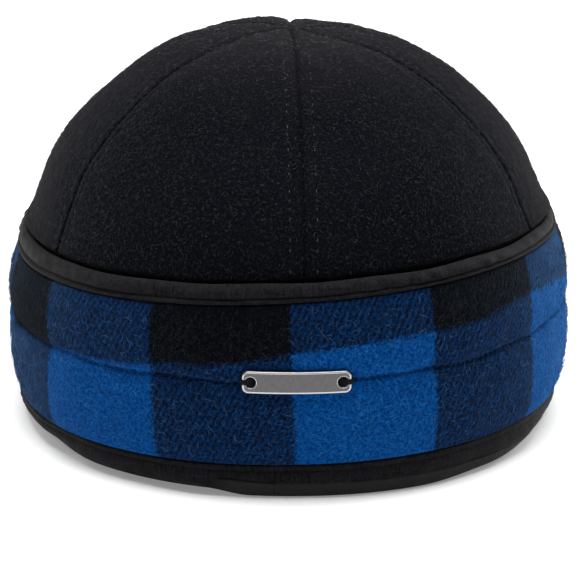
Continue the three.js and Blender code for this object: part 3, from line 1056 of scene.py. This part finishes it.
# Stretches of the way round, from the middle of the back: start, growth, end and fading
LIFTED_LEFT, LIFTED_RIGHT = (16.0, 16.0, 230.0, 60.0), (45.0, 30.0, 230.0, 60.0)
TUCKED, SET_IN = (75.0, 40.0, 235.0, 60.0), (95.0, 35.0, 210.0, 50.0)
# STRIP_SHOWN: where painted reflection lightens the tape's strip below the fold
STRIP_SHOWN = (FOLD_LEFT_END, 10.0, 190.0, 20.0)
STRONG_FOLD, FAINT_FOLD = (FOLD_LEFT_END, 6.0, HEM_SEAM + 1.0, 1.0), (10.0, 10.0, 120.0, 60.0)


def hem_lift(arc, height):
    """The hem's lower edge stands a little off the floor beside the middle of the back."""
    left = HEM_LIFT_LEFT * stretch(-arc, *LIFTED_LEFT)
    right = HEM_LIFT_RIGHT * stretch(arc, *LIFTED_RIGHT)
    return (left + right) * (1 - ease(height / LIFT_TOP))


def hem_tuck(arc, height):
    """The hem turns further under at both sides, and is all set in a little at the right side."""
    tuck = SIDE_TUCK * stretch(np.abs(arc), *TUCKED) * (1 - ease(height / LIFT_TOP))
    return tuck + RIGHT_SET_IN * stretch(arc, *SET_IN)


def above_fold(arc, height):
    return height - FOLD_HEIGHT - FOLD_SLOPE * np.maximum(HEM_SEAM - arc, 0.0)


def hem_strip(arc, height):
    """The tape's plainer lower strip, below the fold, where painted reflection lightens it."""
    return stretch(arc, *STRIP_SHOWN) * ease(0.5 - above_fold(arc, height) / 0.5)


def hem_fold(arc, height):
    """A pressed fold runs out to the left of the hem's seam, and shows faintly on its right."""
    from_fold = above_fold(arc, height)
    strength = stretch(arc, *STRONG_FOLD) + 0.4 * stretch(arc, *FAINT_FOLD)
    below = ease(-from_fold / 0.5 + 0.5) * np.exp(np.minimum(from_fold, 0.0) / 2.5)
    return FOLD_DEPTH * strength * (0.7 * below - bell(from_fold - 0.25, 0.3))


def make_hem():
    arc, here = ring_places(HEM_SEAM)
    angle = angle_at(here)
    top = leaning(BAND_BOTTOM - SEAT_GAP, BAND_BOTTOM_LEAN, angle)
    tuck_share, up = smooth_rows(HEM_ROWS, HEM_SIZE, HEM_POINTS).T
    face_width = BAND_FOOT - leaning(HEM_TUCK, HEM_TUCK_LEAN, angle) * tuck_share
    face_height = top * np.maximum(up, 0.0)
    inside = CROWN_HALF_WIDTH - CROWN_WALL
    ends = np.ones_like(angle)
    back_width = np.array([CROWN_SEAT, CROWN_SEAT, inside, inside, inside + HEM_ROUND]) * ends
    back_height = np.array([HEM_INSIDE_TOP, HEM_INSIDE_TOP, HEM_ROUND, 0.0]) * ends
    width = np.concatenate([face_width, back_width], axis=1)
    height = np.concatenate([face_height, top, back_height], axis=1)
    plain = around(width, angle, height)
    on_face = np.arange(width.shape[1]) < HEM_POINTS
    creases = 0.12 * ripple(plain * [1.0, 1.0, 0.6], 8.0, 41) + 0.35 * ripple(plain, 36.0, 42)
    creases = (creases + hem_fold(here, height)) * ease(height / 3.0)
    width = width + (creases - hem_tuck(here, height)) * on_face
    height = height + hem_lift(here, height)
    groove = int(np.argmin(np.abs(up - HEM_GROOVE_UP)))
    add_tape("hem_tape", "hem_binding", around(width, angle, height), arc, angle, groove,
             hem_strip(here, height))


make_hem()


# Plate
BEVEL = 0.5
BEVEL_STEPS = 7
FACE_RIM = 0.12
CORNER_STEPS = 12
HOLE_STEPS = 40
HOLE_BEVEL = 0.5
PLATE_SLICE = 0.7
SHARP_EDGE = math.radians(24)


def rounded_outline(inset):
    """The plate's outline, drawn in by inset, as seen from behind the cap."""
    right = PLATE_LENGTH / 2 - PLATE_CORNER
    top = PLATE_HEIGHT / 2 - PLATE_CORNER
    reach = PLATE_CORNER - inset
    outline = []
    for x, z, first in [(right, -top, -90), (right, top, 0), (-right, top, 90), (-right, -top, 180)]:
        for step in range(CORNER_STEPS + 1):
            turn = math.radians(first + 90 * step / CORNER_STEPS)
            outline.append((x + reach * math.cos(turn), z + reach * math.sin(turn)))
    return outline


def round_hole(side, inset):
    x = side * (PLATE_LENGTH / 2 - PLATE_HOLE_INSET)
    reach = PLATE_HOLE / 2 + inset * HOLE_BEVEL
    turns = [TURN * step / HOLE_STEPS for step in range(HOLE_STEPS)]
    return [(x + reach * math.cos(turn), reach * math.sin(turn)) for turn in turns]


def make_plate():
    shape = bmesh.new()
    bevel_steps = [(0.0, 0.0), (0.0, PLATE_THICKNESS - BEVEL)]
    for step in range(1, BEVEL_STEPS + 1):
        turn = TURN / 4 * step / BEVEL_STEPS
        bevel_steps.append((BEVEL * (1 - math.cos(turn)), PLATE_THICKNESS - BEVEL * (1 - math.sin(turn))))
    bevel_steps.append((BEVEL + FACE_RIM, PLATE_THICKNESS))
    outlines = [rounded_outline, lambda inset: round_hole(-1, inset), lambda inset: round_hole(1, inset)]
    front_edges, back_edges = [], []
    for outline in outlines:
        loops = []
        for inset, lift in bevel_steps:
            loops.append([shape.verts.new((x, lift, z)) for x, z in outline(inset)])
        for low, high in zip(loops[:-1], loops[1:]):
            for k in range(len(low)):
                following = (k + 1) % len(low)
                corners = [low[k], low[following], high[following], high[k]]
                face = shape.faces.new(corners if outline is rounded_outline else corners[::-1])
                face.material_index = 1
        for loop, edges in ((loops[0], back_edges), (loops[-1], front_edges)):
            edges.extend(shape.edges.get((loop[k - 1], loop[k])) for k in range(1, len(loop)))
            edges.append(shape.edges.get((loop[-1], loop[0])))
    for edges in (front_edges, back_edges):
        made = bmesh.ops.triangle_fill(shape, use_beauty=True, edges=edges)
        for face in made["geom"]:
            if isinstance(face, bmesh.types.BMFace):
                face.material_index = 0
    for cut in np.arange(-PLATE_LENGTH / 2 + PLATE_SLICE, PLATE_LENGTH / 2, PLATE_SLICE):
        geometry = shape.verts[:] + shape.edges[:] + shape.faces[:]
        bmesh.ops.bisect_plane(shape, geom=geometry, plane_co=(cut, 0, 0), plane_no=(1, 0, 0), dist=1e-4)
    bmesh.ops.recalc_face_normals(shape, faces=shape.faces[:])

    x, lift, z = np.array([vertex.co[:] for vertex in shape.verts]).T
    bent = around(PLATE_SEAT + lift, np.arcsin(np.clip(x / PLATE_SEAT, -1, 1)), QUILT_HEIGHT + z)
    bent[:, 0] = x
    for vertex, place in zip(shape.verts, bent):
        vertex.co = place * MM
    for face in shape.faces:
        face.smooth = True
    for edge in shape.edges:
        edge.smooth = len(edge.link_faces) == 2 and edge.calc_face_angle(0.0) < SHARP_EDGE
    mesh = bpy.data.meshes.new("plate_metal")
    shape.to_mesh(mesh)
    shape.free()
    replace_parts(dress(mesh, "plate_metal", plate_face, plate_edge), "plate")


make_plate()


# The threads that hold the plate: strands from each hole over the plate's end. The route is
# away from the hole's middle or from the plate's end, and off the plate's seat.
STRANDS = 6
STRAND_WIDTH = 0.5
STRAND_SIDES, STRAND_RINGS = 8, 26
HOLE_SPREAD, END_SPREAD = 2.7, 1.2
FROM_HOLE = [(-1.5, -0.6), (-0.9, 0.0), (0.2, 0.35), (1.1, 0.9), (1.8, 1.3), (2.4, 1.25)]
FROM_END = [(0.35, 0.7), (0.55, -0.2), (0.35, -1.2)]


def strand_sections(side, offset):
    """One strand. offset, -0.5 to 0.5, is its place among the others."""
    end = PLATE_LENGTH / 2
    route = [(end - PLATE_HOLE_INSET + away, lift) for away, lift in FROM_HOLE]
    route += [(end + away, lift) for away, lift in FROM_END]
    shares = np.linspace(0, 1, STRAND_RINGS)
    x, lift = smooth_line(route, shares).T
    x = side * x
    spread = HOLE_SPREAD + (END_SPREAD - HOLE_SPREAD) * ease(shares / 0.55)
    place = around(PLATE_SEAT + lift, np.arcsin(x / PLATE_SEAT), QUILT_HEIGHT + offset * spread)
    place[:, 0] = x
    rise = np.array([0.0, 0.0, 1.0])
    out = unit(np.cross(unit(np.gradient(place, axis=0)), rise))
    turns = np.arange(STRAND_SIDES) * TURN / STRAND_SIDES
    girth = [(out * math.cos(turn) + rise * math.sin(turn)) * STRAND_WIDTH / 2 for turn in turns]
    return np.stack([place + reach for reach in girth], axis=1)


def make_plate_threads():
    offsets = np.linspace(-0.5, 0.5, STRANDS)
    strands = [strand_sections(side, offset) for side in (-1, 1) for offset in offsets]
    faces = repeated(strip_faces(STRAND_RINGS, STRAND_SIDES), len(strands), STRAND_RINGS * STRAND_SIDES)
    add_piece("plate_threads", strands, faces, thread, "plate_metal")


make_plate_threads()


# Peak: out runs from the root, 0, to the edge, 1, and share from its left end, -1, to its right, 1.
PEAK_STITCH_ROWS = [4.0, 8.5]
PEAK_OUT_ROWS = 56
PEAK_COLUMNS = 150
PEAK_ROW_CROWDING = 1.4
PEAK_EDGE, PEAK_EDGE_SHARE = 0.1, 0.06


def peak_sheet(side):
    root = BAND_FOOT + SEAT_GAP
    root_height = BAND_BOTTOM - SEAT_GAP - PEAK_UNDER_BAND - PEAK_WALL / 2
    end_height = PEAK_FLOOR_GAP + PEAK_DROOP + PEAK_WALL / 2
    share = np.linspace(-1, 1, PEAK_COLUMNS)
    out = (1 - (1 - np.linspace(0, 1, PEAK_OUT_ROWS)) ** PEAK_ROW_CROWDING)[:, None]
    base = around(root, math.pi - share * PEAK_HALF_ANGLE, 0.0)
    outward = unit(base * [PEAK_SPLAY / root, 0.0, 0.0] + [0.0, 1.0, 0.0])
    reach = PEAK_END_REACH + (PEAK_REACH - PEAK_END_REACH) * (1 - share**2) ** PEAK_ROUNDNESS
    middle = root_height + (end_height - root_height) * share**2 - PEAK_DROOP * out**2
    near_edge = np.clip((out - 1 + PEAK_EDGE) / PEAK_EDGE, 0, 1)
    thick = PEAK_WALL * (PEAK_EDGE_SHARE + (1 - PEAK_EDGE_SHARE) * np.sqrt(1 - near_edge**2))
    sheet = base + outward * (out * reach)[..., None]
    from_edge = (1 - out) * reach
    groove = sum(0.35 * bell(from_edge - row, 0.5) for row in PEAK_STITCH_ROWS)
    waves = 0.2 * ripple(sheet, 30.0, 51)
    sheet[..., 2] = middle + side * (thick / 2 - groove) + waves * ease(out / 0.2)
    return sheet, from_edge


def make_peak():
    top, from_edge = peak_sheet(1)
    below, _ = peak_sheet(-1)
    points, faces, kept = wall_mesh(top, below, 1)
    places = np.concatenate([top.reshape(-1, 3), below.reshape(-1, 3) + [0, 0, 30.0]])[kept]
    piece = add_piece("peak_cloth", points, faces, melton, "melton_wool", places)
    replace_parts(piece, "peak")
    add_fluff("peak_fluff", *scatter(top, top, CROWN_FLUFF), slice(None), *MELTON_FLUFF)
    normals = surface_normals(top)
    lines = []
    for row in PEAK_STITCH_ROWS:
        line = []
        for column in range(3, PEAK_COLUMNS - 3):
            distances = from_edge[::-1, column]
            if distances[-1] >= row + 1.0:
                line.append([along_line(row, distances, grid[::-1, column]) for grid in (top, normals)])
        lines.append(np.array(line).transpose(1, 0, 2))
    stitches = stitch_mesh(lines, pitch=2.4, length=1.8, width=0.42, sink=-0.02)
    add_piece("peak_topstitch", *stitches, thread, "melton_wool")


make_peak()


# Floor and light, in metres. The floor glows more away from the cap, to end in white.
FLOOR_HALF, FLOOR_DROP = 4.0, 0.0001
GLOW_PLACES, GLOW = (0.5, 1.5), (0.22, 1.0)
WORLD_LIGHT = 0.12
LIGHT_AIM = (0.0, 0.0, 0.07)
LIGHTS = [
    ("left_light", (-1.1, 0.75, 0.6), (0.9, 1.2), 8.0),
    ("right_light", (1.1, 0.75, 0.6), (0.9, 1.2), 15.0),
    ("top_light", (0.0, 0.0, 1.65), (1.6, 1.2), 48.0),
]
WHITE = (1, 1, 1, 1)


def white_floor(tree):
    from_cap = add_node(tree, "VectorMath", {0: object_place(tree)}, "Value", operation="LENGTH")
    glow = {"Emission Color": WHITE, "Emission Strength": remap(from_cap, *GLOW_PLACES, *GLOW)}
    return surface((0.92, 0.92, 0.92, 1), 0.9, 0.1, **glow)


def add_floor():
    mesh = bpy.data.meshes.new("floor")
    corners = [(x * FLOOR_HALF, y * FLOOR_HALF, 0) for x, y in [(-1, -1), (1, -1), (1, 1), (-1, 1)]]
    mesh.from_pydata(corners, [], [[0, 1, 2, 3]])
    mesh.materials.append(make_material("floor_white", white_floor))
    floor = link("floor", mesh)
    floor.location.z = -FLOOR_DROP


def add_light(name, place, size, power):
    data = bpy.data.lights.new(name, "AREA")
    data.shape = "RECTANGLE"
    data.size, data.size_y = size
    data.energy = power
    light = link(name, data)
    light.location = place
    turn_to(light, LIGHT_AIM)


def add_world():
    world = bpy.data.worlds.new("studio")
    world.use_nodes = True
    set_inputs(world.node_tree.nodes["Background"], {"Color": WHITE, "Strength": WORLD_LIGHT})
    bpy.context.scene.world = world


add_floor()
add_world()
for light in LIGHTS:
    add_light(*light)
bpy.context.scene.view_settings.view_transform = "Standard"
bpy.context.scene.view_settings.look = "None"
